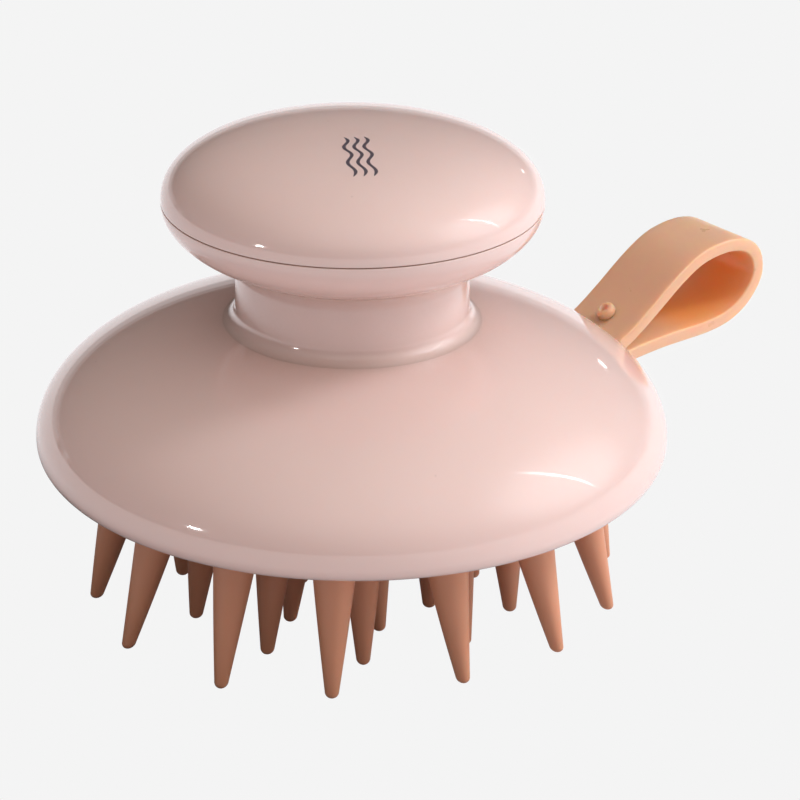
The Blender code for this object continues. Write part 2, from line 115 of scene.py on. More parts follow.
# The soft cones that don't stand evenly: (turn of the whole cone in degrees, further turn of the
# tip in degrees, tip outward)
BRISTLE_BENDS = {
    "outer_07": (-3.0, -1.5, -0.0006),
    "outer_08": (0.0, -2.5, -0.0005),
    "outer_09": (-2.6, -0.3, 0.0012),
    "outer_10": (-2.6, 1.1, 0.0012),
    "outer_11": (-2.8, 0.0, -0.0004),
    "outer_12": (-0.8, 2.5, -0.0015),
    "outer_13": (0.0, 2.3, -0.0004),
    "outer_14": (0.0, 0.6, 0.0004),
    "outer_15": (0.0, 0.4, -0.0008),
    "middle_06": (0.0, 0.3, -0.0033),
    "middle_07": (0.0, 0.0, -0.0010),
    "middle_08": (0.0, 0.8, 0.0005),
    "middle_09": (-1.5, 0.0, 0.0009),
    "middle_11": (-4.0, -0.7, -0.0018),
    "inner_07": (0.0, -1.4, 0.0004),
    "inner_08": (1.0, 1.4, 0.0014),
    "inner_09": (-2.2, 0.0, -0.0018),
}

# Strap
STRAP_HALF_WIDTH = 0.0065
STRAP_THICKNESS = 0.0021
STRAP_EDGE = 0.00028

# The middle of the strap's thickness as (x, z), from the eye out along the lower leg, round the
# nose and back to the buttoned end
STRAP_LINE = (
    (0.0408, 0.0277),
    (0.0434, 0.0265),
    (0.0461, 0.0255),
    (0.0490, 0.0250),
    (0.0520, 0.02525),
    (0.0575, 0.0257),
    (0.0625, 0.0258),
    (0.0671, 0.0259),
    (0.0716, 0.0266),
    (0.0753, 0.0286),
    (0.0776, 0.0316),
    (0.0780, 0.0340),
    (0.0772, 0.0364),
    (0.0752, 0.0381),
    (0.0723, 0.0389),
    (0.0690, 0.0389),
    (0.0648, 0.0380),
    (0.0603, 0.0354),
    (0.0557, 0.0319),
    (0.0512, 0.0287),
    (0.0486, 0.0273),
)
EYE_RADIUS = 0.0030
EYE_BORE_HALF_LENGTH = 0.010
BAR_RADIUS = 0.0012
BAR_X = 0.0388
BAR_Z = 0.0286
BAR_HALF_LENGTH = 0.0096
BAR_EDGE = 0.0002
BAR_BORE_HALF_LENGTH = 0.013
STUD_FOOT = (0.0543, 0.0255)
STUD_LEAN = 35.0
STUD_STEM_RADIUS = 0.0009
STUD_HEAD_RADIUS = 0.00155
STUD_HEAD_FROM = 0.0057
STUD_HEAD_HEIGHT = 0.0014
STUD_HOLE_RADIUS = 0.0012
STUD_HOLE_REACH = (0.0026, 0.0076)

# The stud's head from the middle of its dimple outward: (share of the head's radius, depth below
# the top)
STUD_CROWN = (
    (0.0, 0.00058),
    (0.14, 0.00055),
    (0.26, 0.00042),
    (0.36, 0.00022),
    (0.46, 0.00005),
    (0.58, 0.0),
    (0.72, 0.00005),
    (0.86, 0.00022),
    (0.96, 0.00048),
    (1.0, 0.0008),
)

# The rest of the head down to its stem: (share of the head's radius, height above its base)
STUD_UNDER = (
    (1.0, 0.00018),
    (0.97, 0.00006),
    (0.9, 0.0),
)
STUD_ROOT_Z = -0.0002

# Slot in the shell and the ribs that hold the strap's bar
SLOT_INNER_X = 0.0420
SLOT_OUTER_X = 0.0530
SLOT_HALF_WIDTH = 0.0073
SLOT_LOW_Z = 0.0228
SLOT_HIGH_Z = 0.0294
SLOT_EDGE = 0.0007
RIB_INNER_Y = 0.0077
RIB_OUTER_Y = 0.0099
RIB_LOW_X = 0.0362
RIB_HIGH_X = 0.050
RIB_LOW_Z = 0.0257
RIB_HIGH_Z = 0.040

# The mark printed on the cap: three wavy lines
MARK_START = (-0.00165, -0.00241)
MARK_END = (-0.00829, -0.01358)
MARK_LINES = 3
MARK_SPACING = 0.00145
MARK_STROKE = 0.00052
MARK_WAVE = 0.00042
MARK_WAVES = 2.5
MARK_TAPER = 12
MARK_LIFT = 0.000012
MARK_DEPTH = 0.00006

# Colours
PINK = (0.775, 0.572, 0.535)
# Painted shade on the pink: the colour it is darkened towards on the neck under the knob and on the
# dome round the neck
PINK_PAINTED_SHADE = (0.50, 0.325, 0.255)
PLATE_PINK = (0.68, 0.50, 0.45)
BRISTLE_BROWN = (0.63, 0.285, 0.172)
PAD_BROWN = (0.58, 0.255, 0.155)
PEACH = (0.74, 0.465, 0.305)
# Painted shade inside the strap's loop, in the deep orange of light shining through the strap
PEACH_PAINTED_SHADE = (0.86, 0.335, 0.03)
INK_GREY = (0.085, 0.065, 0.085)
STEEL_GREY = (0.55, 0.55, 0.57)
SEEN_WHITE = (0.905, 0.905, 0.905, 1)
WHITE = (1.0, 1.0, 1.0)
COOL = (0.92, 0.965, 1.0)

# Where the painted shade on the strap starts and may be fullest, along X
PEACH_PAINTED_SHADE_FROM = (0.056, 0.068)

# Surfaces: scales of the patterns in cells per metre, and the noise or distance that they span
DRIFT_SCALE = 45.0
DRIFT_SPAN = (0.3, 0.7)
GLOSS_SCALE = 220.0
GLOSS_SPAN = (0.25, 0.75)
SPECK_SCALE = 130.0
SPECK_SPAN = (0.015, 0.028)
SCATTER_UNIT = 0.001
COAT_ROUGHNESS = 0.02
SMOOTHEST = 0.02

# Floor: a level of light in the shade under the brush, and one further out
FLOOR_HALF_SIZE = 6.0
FLOOR_Z = -0.0002
FLOOR_SHADED = 0.07
FLOOR_BOUNCE = 0.96
FLOOR_TINT = (1.0, 0.955, 0.97)
FLOOR_SHADE_REACH = (0.030, 0.090)
FLOOR_SHADE_AZIMUTH = -80.0
FLOOR_SHADE_OFFSET = 0.022

# Sky: (sine of the elevation, level), brighter to one side
SKY_TINT = (1.0, 0.93, 0.865)
SKY_BRIGHT_SIDE = 35.0
SKY_TURN = 0.9
SKY_DARK = 0.35
SKY_BRIGHT = 1.40
SKY_BANDS = (
    (0.0, 0.08),
    (0.30, 0.27),
    (0.60, 0.62),
    (1.0, 1.0),
)

# A framed white backdrop low behind the object: (distance from its middle, level), with the white
# ending at 0.5
BACKDROP_REACH = 50.0
BACKDROP_TOP = 0.068
BACKDROP_BANDS = (
    (0.0, 0.54),
    (0.50, 0.54),
    (0.53, 0.10),
    (0.63, 0.10),
    (0.66, 0.55),
    (0.71, 0.55),
    (0.74, 0.25),
)
BACKDROP_END = (0.72, 0.76)

# Lights: (name, azimuth, elevation, distance, width, height, power, colour, strength in the middle
# or 0 for an even light, shows in reflections, lights the surfaces)
LIGHT_AIM = (0.0, 0.0, 0.04)
LIGHT_MIDDLE = (0.5, 0.5, 0.0)
LIGHT_FADE = (0.08, 0.5)
LIGHTS = (
    ("key", 88, 30, 0.8, 1.25, 1.05, 2.9, COOL, 2.2, True, True),
    ("key_strip", 94, 33, 0.8, 0.022, 0.75, 0.42, COOL, 2.2, True, True),
    ("key_high", 93, 43, 0.8, 0.32, 0.32, 3.2, COOL, 2.2, False, True),
    ("low_right", 92, 0, 0.9, 0.50, 0.20, 4.2, COOL, 2.2, False, True),
    ("glint", -54, 10, 0.8, 0.055, 0.020, 0.80, WHITE, 0.0, True, False),
    ("back_glint", 152, 14, 0.8, 0.030, 0.006, 0.008, WHITE, 0.0, True, False),
)

# Camera, as an orbit round a point on the dome's axis
CAMERA_TURN = -37.0
CAMERA_ELEVATION = 24.27
CAMERA_DISTANCE = 0.44318
CAMERA_AIM_Z = 0.02824
CAMERA_ROLL = 0.27
CAMERA_LENS = 132.32
CAMERA_SHIFT = (0.0602, 0.0019)
CAMERA_SENSOR = 36.0
CAMERA_CLIP = (0.01, 50.0)


# ---------------------------------------------------------------------------------------------
# Mesh helpers


def on_circle(radius, angle, z=0.0):
    turn = math.radians(angle)
    return (radius * math.cos(turn), radius * math.sin(turn), z)


def curve_r(z, radius, height, power):
    return radius * max(0.0, 1 - abs(z / height) ** power) ** (1 / power)


def curve_z(r, radius, height, power):
    return height * max(0.0, 1 - abs(r / radius) ** power) ** (1 / power)


def quarter(radius, height, power, base_z, r_from, r_to, count):
    """Points (r, z) along a superellipse quarter, evenly spaced by angle."""
    start = math.acos(min(1.0, (r_from / radius) ** (power / 2)))
    end = math.acos(min(1.0, (r_to / radius) ** (power / 2)))
    points = []
    for index in range(count + 1):
        turn = start + (end - start) * index / count
        r = radius * max(0.0, math.cos(turn)) ** (2 / power)
        z = base_z + height * max(0.0, math.sin(turn)) ** (2 / power)
        points.append((r, z))
    return points


def arc(centre, radius, start, end, count):
    points = []
    for index in range(count + 1):
        turn = math.radians(start + (end - start) * index / count)
        points.append((centre[0] + radius * math.cos(turn), centre[1] + radius * math.sin(turn)))
    return points


def blend_corner(before, corner, after, count):
    points = []
    for index in range(count + 1):
        t = index / count
        r = (1 - t) ** 2 * before[0] + 2 * t * (1 - t) * corner[0] + t * t * after[0]
        z = (1 - t) ** 2 * before[1] + 2 * t * (1 - t) * corner[1] + t * t * after[1]
        points.append((r, z))
    return points


def link(name, mesh, material=None, shown=True):
    made = bpy.data.objects.new(name, mesh)
    bpy.context.scene.collection.objects.link(made)
    if material:
        mesh.materials.append(material)
    if not shown:
        made.hide_render = True
        made.hide_viewport = True
    return made


def mesh_from(name, points, faces):
    mesh = bpy.data.meshes.new(name)
    mesh.from_pydata(points, [], faces)
    shape = bmesh.new()
    shape.from_mesh(mesh)
    bmesh.ops.remove_doubles(shape, verts=shape.verts[:], dist=MERGE_DISTANCE)
    bmesh.ops.recalc_face_normals(shape, faces=shape.faces[:])
    shape.to_mesh(mesh)
    shape.free()
    return mesh


def turned(name, profile, steps, material=None, loop=False):
    """A round solid turned about Z from the points (r, z)."""
    count = len(profile)
    points = []
    for step in range(steps):
        turn = 2 * math.pi * step / steps
        for r, z in profile:
            points.append((r * math.cos(turn), r * math.sin(turn), z))
    faces = []
    last = count if loop else count - 1
    for step in range(steps):
        here = step * count
        after = ((step + 1) % steps) * count
        for index in range(last):
            ahead = (index + 1) % count
            corners = [here + index, here + ahead, after + ahead, after + index]
            if profile[index][0] < 1e-9:
                corners = [here + index, here + ahead, after + ahead]
            elif profile[ahead][0] < 1e-9:
                corners = [here + index, here + ahead, after + index]
            faces.append(corners)
    return link(name, mesh_from(name, points, faces), material)


def smooth(item, angle=35):
    mesh = item.data
    for face in mesh.polygons:
        face.use_smooth = True
    mesh.set_sharp_from_angle(angle=math.radians(angle))


def block(name, low, high, bevel=0.0):
    mesh = bpy.data.meshes.new(name)
    shape = bmesh.new()
    bmesh.ops.create_cube(shape, size=1.0)
    for vertex in shape.verts:
        for axis in range(3):
            vertex.co[axis] = low[axis] + (vertex.co[axis] + 0.5) * (high[axis] - low[axis])
    if bevel:
        bmesh.ops.bevel(
            shape, geom=shape.edges[:], offset=bevel, segments=5, affect="EDGES", profile=0.5
        )
    shape.to_mesh(mesh)
    shape.free()
    return link(name, mesh, shown=False)


def rod(name, radius, low, high, steps, shown=False, material=None):
    mesh = bpy.data.meshes.new(name)
    shape = bmesh.new()
    bmesh.ops.create_cone(
        shape, cap_ends=True, segments=steps, radius1=radius, radius2=radius, depth=high - low
    )
    bmesh.ops.translate(shape, verts=shape.verts[:], vec=(0, 0, (low + high) / 2))
    shape.to_mesh(mesh)
    shape.free()
    return link(name, mesh, material, shown=shown)


def boolean(target, other, operation):
    step = target.modifiers.new(other.name, "BOOLEAN")
    step.operation = operation
    step.solver = "EXACT"
    step.object = other


def settle(item, helpers=()):
    """Applies the modifiers of item and removes the helper objects they used."""
    bpy.context.view_layer.update()
    graph = bpy.context.evaluated_depsgraph_get()
    made = bpy.data.meshes.new_from_object(item.evaluated_get(graph), depsgraph=graph)
    item.modifiers.clear()
    item.data = made
    for helper in helpers:
        bpy.data.objects.remove(helper)


# ---------------------------------------------------------------------------------------------
# Materials


def add(tree, kind, **values):
    """A shader node with these of its properties set."""
    node = tree.nodes.new(kind)
    for key, value in values.items():
        setattr(node, key, value)
    return node


def map_range(tree, value, start, end, kind="LINEAR"):
    """Maps value from the range start to the range end, and no further."""
    step = add(tree, "ShaderNodeMapRange", interpolation_type=kind)
    step.inputs["From Min"].default_value = start[0]
    step.inputs["From Max"].default_value = start[1]
    step.inputs["To Min"].default_value = end[0]
    step.inputs["To Max"].default_value = end[1]
    tree.links.new(value, step.inputs["Value"])
    return step.outputs["Result"]


def scaled(tree, colour, factor):
    """The colour, a value or a socket, times the factor."""
    step = add(tree, "ShaderNodeVectorMath", operation="SCALE")
    if isinstance(colour, tuple):
        step.inputs[0].default_value = colour
    else:
        tree.links.new(colour, step.inputs[0])
    tree.links.new(factor, step.inputs["Scale"])
    return step.outputs["Vector"]


def most_of(tree, first, second):
    step = add(tree, "ShaderNodeMath", operation="MAXIMUM")
    tree.links.new(first, step.inputs[0])
    tree.links.new(second, step.inputs[1])
    return step.outputs["Value"]


def distance_from(tree, place, centre):
    """How far the point place is from the fixed point centre."""
    offset = add(tree, "ShaderNodeVectorMath", operation="SUBTRACT")
    offset.inputs[1].default_value = centre
    tree.links.new(place, offset.inputs[0])
    length = add(tree, "ShaderNodeVectorMath", operation="LENGTH")
    tree.links.new(offset.outputs["Vector"], length.inputs[0])
    return length.outputs["Value"]


def choose(tree, factor, first, second):
    """A mix of two shaders, the first where factor is 0 and the second where it is 1."""
    mix = add(tree, "ShaderNodeMixShader")
    tree.links.new(factor, mix.inputs["Fac"])
    tree.links.new(first.outputs[0], mix.inputs[1])
    tree.links.new(second.outputs[0], mix.inputs[2])
    return mix


def coordinate(tree, vector, axis):
    parts = add(tree, "ShaderNodeSeparateXYZ")
    tree.links.new(vector, parts.inputs["Vector"])
    return parts.outputs[axis]


def noise(tree, place, scale, detail):
    pattern = add(tree, "ShaderNodeTexNoise")
    pattern.inputs["Scale"].default_value = scale
    pattern.inputs["Detail"].default_value = detail
    tree.links.new(place, pattern.inputs["Vector"])
    return pattern.outputs["Fac"]


def bump(tree, height, distance, normal=None):
    """A normal raised by height times distance, on top of another normal if there is one."""
    step = add(tree, "ShaderNodeBump")
    step.inputs["Strength"].default_value = 1.0
    step.inputs["Distance"].default_value = distance
    tree.links.new(height, step.inputs["Height"])
    if normal:
        tree.links.new(normal, step.inputs["Normal"])
    return step.outputs["Normal"]


def plastic(name, base, roughness, spread=0.04, scatter=0.0, radius=(1, 1, 1), coat=0.0,
            wave_size=0.004, wave_height=0.000004, grain_size=0.0003, grain_height=0.0,
            specks=0.0, rough_spread=0.05, specular=0.5):
    """Moulded plastic or rubber: a faint drift of colour, a slow surface wave and a fine grain."""
    made = bpy.data.materials.new(name)
    made.use_nodes = True
    tree = made.node_tree
    shader = tree.nodes["Principled BSDF"]
    shader.inputs["Specular IOR Level"].default_value = specular
    shader.inputs["Subsurface Weight"].default_value = scatter
    shader.inputs["Subsurface Radius"].default_value = radius
    shader.inputs["Subsurface Scale"].default_value = SCATTER_UNIT
    shader.inputs["Coat Weight"].default_value = coat
    shader.inputs["Coat Roughness"].default_value = COAT_ROUGHNESS
    place = add(tree, "ShaderNodeTexCoord").outputs["Object"]

    drift = noise(tree, place, DRIFT_SCALE, 3.0)
    tint = map_range(tree, drift, DRIFT_SPAN, (1.0 - spread, 1.0 + spread))
    colour = scaled(tree, base, tint)
    if specks:
        fleck = add(tree, "ShaderNodeTexVoronoi")
        fleck.inputs["Scale"].default_value = SPECK_SCALE
        tree.links.new(place, fleck.inputs["Vector"])
        dot = map_range(tree, fleck.outputs["Distance"], SPECK_SPAN, (1.0 - specks, 1.0))
        colour = scaled(tree, colour, dot)
    tree.links.new(colour, shader.inputs["Base Color"])

    gloss = noise(tree, place, GLOSS_SCALE, 4.0)
    rough_span = (max(SMOOTHEST, roughness - rough_spread), roughness + rough_spread)
    rough = map_range(tree, gloss, GLOSS_SPAN, rough_span)
    tree.links.new(rough, shader.inputs["Roughness"])

    normal = bump(tree, noise(tree, place, 1.0 / wave_size, 1.0), wave_height)
    if grain_height:
        normal = bump(tree, noise(tree, place, 1.0 / grain_size, 2.0), grain_height, normal)
    tree.links.new(normal, shader.inputs["Normal"])
    return made


def glossy_pink(name):
    return plastic(name, PINK, 0.075, spread=0.012, scatter=0.25, radius=(1.6, 0.9, 0.7), coat=0.5,
                   wave_size=0.006, wave_height=0.000010, specks=0.10, rough_spread=0.03)


def steel(name):
    made = plastic(name, STEEL_GREY, 0.32, spread=0.08, grain_height=0.000004)
    made.node_tree.nodes["Principled BSDF"].inputs["Metallic"].default_value = 1.0
    return made


def paint_shade(made, shade_colour, reach, span, past=None):
    """Painted shade: shifts the colour towards the given shade colour where other surfaces stand
    within reach. Span is the openness at which the shift is full and the one at which it ends.
    With past, it sets in along X."""
    tree = made.node_tree
    shader = tree.nodes["Principled BSDF"]
    source = shader.inputs["Base Color"].links[0].from_socket
    cover = add(tree, "ShaderNodeAmbientOcclusion", samples=8)
    cover.inputs["Distance"].default_value = reach
    kept = map_range(tree, cover.outputs["AO"], span, (0.0, 1.0), "SMOOTHSTEP")
    if past:
        place = add(tree, "ShaderNodeTexCoord").outputs["Object"]
        before = map_range(tree, coordinate(tree, place, "X"), past, (1.0, 0.0), "SMOOTHSTEP")
        kept = most_of(tree, kept, before)
    mix = add(tree, "ShaderNodeMix", data_type="RGBA")
    mix.inputs["A"].default_value = (*shade_colour, 1)
    tree.links.new(kept, mix.inputs["Factor"])
    tree.links.new(source, mix.inputs["B"])
    tree.links.new(mix.outputs["Result"], shader.inputs["Base Color"])


SHELL = glossy_pink("shell_pink")
GRIP = glossy_pink("grip_pink")
CAP = glossy_pink("cap_pink")
BRISTLE = plastic("bristle_brown", BRISTLE_BROWN, 0.46, spread=0.05, scatter=0.35,
                  radius=(1.5, 0.6, 0.35), wave_size=0.003, wave_height=0.000006,
                  grain_size=0.00022, grain_height=0.000006, rough_spread=0.08, specular=0.4)
PAD = plastic("pad_brown", PAD_BROWN, 0.52, spread=0.05, scatter=0.2,
              radius=(1.5, 0.6, 0.35), wave_size=0.004, wave_height=0.000008,
              grain_size=0.00022, grain_height=0.000008, rough_spread=0.08, specular=0.4)
STRAP = plastic("strap_peach", PEACH, 0.32, spread=0.03, scatter=1.0,
                radius=(2.4, 1.1, 0.5), wave_size=0.0046, wave_height=0.000005,
                grain_size=0.00025, grain_height=0.000004, rough_spread=0.06, specular=0.45)
PLATE = plastic("plate_pink", PLATE_PINK, 0.35, spread=0.03)
INK = plastic("mark_ink", INK_GREY, 0.35, spread=0.10)
STEEL = steel("bar_steel")
# Painted shade from an occlusion mask: inside the strap's loop, on the neck under the knob and on
# the dome round the neck
paint_shade(STRAP, PEACH_PAINTED_SHADE, 0.016, (0.22, 0.82), past=PEACH_PAINTED_SHADE_FROM)
paint_shade(GRIP, PINK_PAINTED_SHADE, 0.030, (0.18, 0.72))
paint_shade(SHELL, PINK_PAINTED_SHADE, 0.030, (0.15, 0.58))


# ---------------------------------------------------------------------------------------------
# The dome


def dome_slope(r):
    """The dome's downward slope at radius r, as an angle in degrees."""
    step = 0.00005
    drop = curve_z(r - step, DOME_RADIUS, DOME_RISE, DOME_POWER)
    drop -= curve_z(r + step, DOME_RADIUS, DOME_RISE, DOME_POWER)
    return math.degrees(math.atan2(drop, 2 * step))


def dome_height(r):
    return DOME_WIDEST_Z + curve_z(r, DOME_RADIUS, DOME_RISE, DOME_POWER)


def build_dome():
    seat_edge_z = dome_height(SEAT_RADIUS)
    outer = quarter(
        DOME_RADIUS, DOME_RISE, DOME_POWER, DOME_WIDEST_Z, SEAT_RADIUS, DOME_RADIUS, 64
    )
    under = arc((DOME_RADIUS - RIM_ROUND, DOME_WIDEST_Z), RIM_ROUND, 0, -90, 14)
    bottom_z = DOME_WIDEST_Z - RIM_ROUND
    lip = arc((RIM_INNER_RADIUS + LIP_EDGE, bottom_z + LIP_EDGE), LIP_EDGE, -90, -180, 4)
    radius = DOME_RADIUS - DOME_WALL
    height = DOME_RISE - DOME_WALL
    r_low = curve_r(RIM_LEDGE_Z - DOME_WIDEST_Z, radius, height, DOME_POWER)
    r_high = curve_r(SEAT_UNDER_Z - DOME_WIDEST_Z, radius, height, DOME_POWER)
    inner = quarter(radius, height, DOME_POWER, DOME_WIDEST_Z, r_low, r_high, 28)
    profile = [(SEAT_HOLE_RADIUS, SEAT_Z), (SEAT_RADIUS, SEAT_Z)]
    profile += [(SEAT_RADIUS, seat_edge_z)] + outer[1:] + under[1:] + lip
    profile += [(RIM_INNER_RADIUS, RIM_LEDGE_Z), (r_low, RIM_LEDGE_Z)] + inner[1:-1]
    profile += [(r_high, SEAT_UNDER_Z), (SEAT_HOLE_RADIUS, SEAT_UNDER_Z)]
    shell = turned("shell", profile, 192, SHELL, loop=True)

    middle = DOME_WALL / 2
    side = quarter(
        DOME_RADIUS - middle, DOME_RISE - middle, DOME_POWER, DOME_WIDEST_Z,
        0.0, DOME_RADIUS - middle, 30
    )
    core = turned("rib_limit", side + [(0.0, DOME_WIDEST_Z)], 96)
    helpers = [core]
    for name, sign in (("rib_left", 1), ("rib_right", -1)):
        near = min(sign * RIB_INNER_Y, sign * RIB_OUTER_Y)
        far = max(sign * RIB_INNER_Y, sign * RIB_OUTER_Y)
        rib = block(name, (RIB_LOW_X, near, RIB_LOW_Z), (RIB_HIGH_X, far, RIB_HIGH_Z))
        boolean(rib, core, "INTERSECT")
        boolean(shell, rib, "UNION")
        helpers.append(rib)
    slot = block(
        "strap_slot",
        (SLOT_INNER_X, -SLOT_HALF_WIDTH, SLOT_LOW_Z),
        (SLOT_OUTER_X, SLOT_HALF_WIDTH, SLOT_HIGH_Z),
        bevel=SLOT_EDGE,
    )
    boolean(shell, slot, "DIFFERENCE")
    bore = rod("bar_bore", BAR_RADIUS + GAP, -BAR_BORE_HALF_LENGTH, BAR_BORE_HALF_LENGTH, 32)
    bore.rotation_euler = (math.radians(90), 0, 0)
    bore.location = (BAR_X, 0, BAR_Z)
    boolean(shell, bore, "DIFFERENCE")
    settle(shell, helpers + [slot, bore])
    smooth(shell, 30)
    return shell


# ---------------------------------------------------------------------------------------------
# The knob


def foot_fillet():
    """A fillet from the neck that runs out flush with the dome."""
    r = NECK_RADIUS + FOOT_FILLET
    for _ in range(30):
        slope = dome_slope(r)
        r = NECK_RADIUS + FOOT_FILLET - FOOT_FILLET * math.sin(math.radians(slope))
    slope = dome_slope(r)
    touch = (r, dome_height(r) + FOOT_LIFT)
    centre = (NECK_RADIUS + FOOT_FILLET, touch[1] + FOOT_FILLET * math.cos(math.radians(slope)))
    return arc(centre, FOOT_FILLET, 180, 270 - slope, 18)


def build_grip():
    seam = SEAM_Z - SEAM_GAP / 2
    bowl = quarter(KNOB_RADIUS, BOWL_DEPTH, BOWL_POWER, 0.0, KNOB_RADIUS, BOWL_FILLET_RADIUS, 40)
    rim = arc((KNOB_RADIUS - SEAM_EDGE, seam - SEAM_EDGE), SEAM_EDGE, 90, 0, 4)
    side = rim + [(r, SEAM_Z - z) for r, z in bowl[1:] if SEAM_Z - z < seam - SEAM_EDGE]
    near, last = side[-2:]
    fall = (last[1] - near[1]) / (last[0] - near[0])
    corner = (NECK_RADIUS, last[1] + (NECK_RADIUS - last[0]) * fall)
    waist = blend_corner(side[-1], corner, (NECK_RADIUS, NECK_TOP_Z), 24)
    foot = foot_fillet()
    under = [
        (foot[-1][0] - FOOT_LIP, foot[-1][1] - FOOT_LIP),
        (SEAT_RADIUS + 2 * FOOT_LIP, dome_height(SEAT_RADIUS) + FOOT_LIP),
        (SEAT_RADIUS - 3 * FOOT_LIP, FOOT_BOTTOM_Z),
        (0.0, FOOT_BOTTOM_Z),
    ]
    radius = KNOB_RADIUS - GRIP_WALL
    inner_depth = BOWL_DEPTH - GRIP_WALL
    neck = NECK_RADIUS - GRIP_WALL
    inner = quarter(radius, inner_depth, BOWL_POWER, 0.0, neck, radius, 16)
    inside = [(0.0, GRIP_FLOOR_Z), (neck, GRIP_FLOOR_Z)]
    inside += [(r, SEAM_Z - z) for r, z in inner[:-1]] + [(radius, SEAM_Z - SEAM_TIGHT)]
    inside += [
        (KNOB_RADIUS - SEAM_DEPTH, SEAM_Z - SEAM_TIGHT),
        (KNOB_RADIUS - SEAM_DEPTH + SEAM_FLARE, seam),
    ]
    grip = turned("grip", inside + side + waist[1:] + foot + under, 160, GRIP)
    smooth(grip, 30)
    return grip


def build_cap():
    seam = SEAM_Z + SEAM_GAP / 2
    outer = quarter(KNOB_RADIUS, CAP_HEIGHT, CAP_POWER, SEAM_Z, 0.0, KNOB_RADIUS, 72)
    outer = [(r, z) for r, z in outer if z > seam + SEAM_EDGE]
    rim = arc((KNOB_RADIUS - SEAM_EDGE, seam + SEAM_EDGE), SEAM_EDGE, 0, -90, 4)
    inner_radius = KNOB_RADIUS - CAP_WALL
    inner_height = CAP_HEIGHT - CAP_WALL
    skirt_inner = SKIRT_RADIUS - SKIRT_WALL
    root_z = SEAM_Z + curve_z(skirt_inner, inner_radius, inner_height, CAP_POWER)
    skirt = [
        (KNOB_RADIUS - SEAM_DEPTH + SEAM_FLARE, seam),
        (KNOB_RADIUS - SEAM_DEPTH, SEAM_Z + SEAM_TIGHT),
        (SKIRT_RADIUS, SEAM_Z + SEAM_TIGHT),
        (SKIRT_RADIUS, SKIRT_BOTTOM_Z + SKIRT_EDGE),
        (SKIRT_RADIUS - SKIRT_EDGE, SKIRT_BOTTOM_Z),
        (skirt_inner, SKIRT_BOTTOM_Z),
        (skirt_inner, root_z),
    ]
    inner = quarter(inner_radius, inner_height, CAP_POWER, SEAM_Z, skirt_inner, 0.0, 20)
    cap = turned("cap", outer + rim + skirt + inner[1:], 160, CAP)
    smooth(cap, 30)
    return cap


def on_cap(x, y, lift):
    """The point on the cap above (x, y), lifted off the surface by lift."""
    r = math.hypot(x, y)
    z = SEAM_Z + curve_z(r, KNOB_RADIUS, CAP_HEIGHT, CAP_POWER)
    step = 0.0001
    fall = curve_z(r + step, KNOB_RADIUS, CAP_HEIGHT, CAP_POWER)
    fall -= curve_z(max(0.0, r - step), KNOB_RADIUS, CAP_HEIGHT, CAP_POWER)
    normal = Vector((-fall / (2 * step) * x / r, -fall / (2 * step) * y / r, 1)).normalized()
    return Vector((x, y, z)) + normal * lift


def build_mark():
    """Three wavy lines, printed on the cap. They are thin strips laid on its surface."""
    start = Vector(MARK_START)
    end = Vector(MARK_END)
    along = (end - start).normalized()
    across = Vector((-along.y, along.x))
    length = (end - start).length
    steps = 64
    points = []
    faces = []
    for line in range(MARK_LINES):
        offset = (line - (MARK_LINES - 1) / 2) * MARK_SPACING
        base = len(points)
        for index in range(steps + 1):
            t = index / steps
            wave = MARK_WAVE * math.sin(2 * math.pi * MARK_WAVES * t)
            taper = min(1.0, MARK_TAPER * t, MARK_TAPER * (1 - t))
            half = MARK_STROKE / 2 * math.sqrt(max(0.06, taper))
            middle = start + along * (t * length) + across * (offset + wave)
            for side, lift in (
                (1, MARK_LIFT), (-1, MARK_LIFT), (-1, -MARK_DEPTH), (1, -MARK_DEPTH)
            ):
                spot = middle + across * (half * side)
                points.append(on_cap(spot.x, spot.y, lift))
        for index in range(steps):
            a = base + 4 * index
            for k in range(4):
                n = (k + 1) % 4
                faces.append((a + k, a + n, a + 4 + n, a + 4 + k))
        faces.append((base, base + 1, base + 2, base + 3))
        tail = base + 4 * steps
        faces.append((tail + 3, tail + 2, tail + 1, tail))
    mark = link("cap_mark", mesh_from("cap_mark", points, faces), INK)
    smooth(mark, 40)
    return mark


# ---------------------------------------------------------------------------------------------
# Pad and bristles


def build_pad():
    profile = [(0.0, PAD_TOP_Z), (PAD_RADIUS, PAD_TOP_Z)]
    profile += arc((PAD_RADIUS - LIP_EDGE, PAD_BOTTOM_Z + LIP_EDGE), LIP_EDGE, 0, -90, 5)
    profile += [
        (PAD_GROOVE_RADIUS + PAD_GROOVE_MOUTH, PAD_BOTTOM_Z),
        (PAD_GROOVE_RADIUS + PAD_GROOVE_FLOOR, PAD_BOTTOM_Z + PAD_GROOVE_DEPTH),
        (PAD_GROOVE_RADIUS - PAD_GROOVE_FLOOR, PAD_BOTTOM_Z + PAD_GROOVE_DEPTH),
        (PAD_GROOVE_RADIUS - PAD_GROOVE_MOUTH, PAD_BOTTOM_Z),
        (0.0, PAD_BOTTOM_Z),
    ]
    pad = turned("pad", profile, 160, PAD)
    smooth(pad, 30)
    return pad


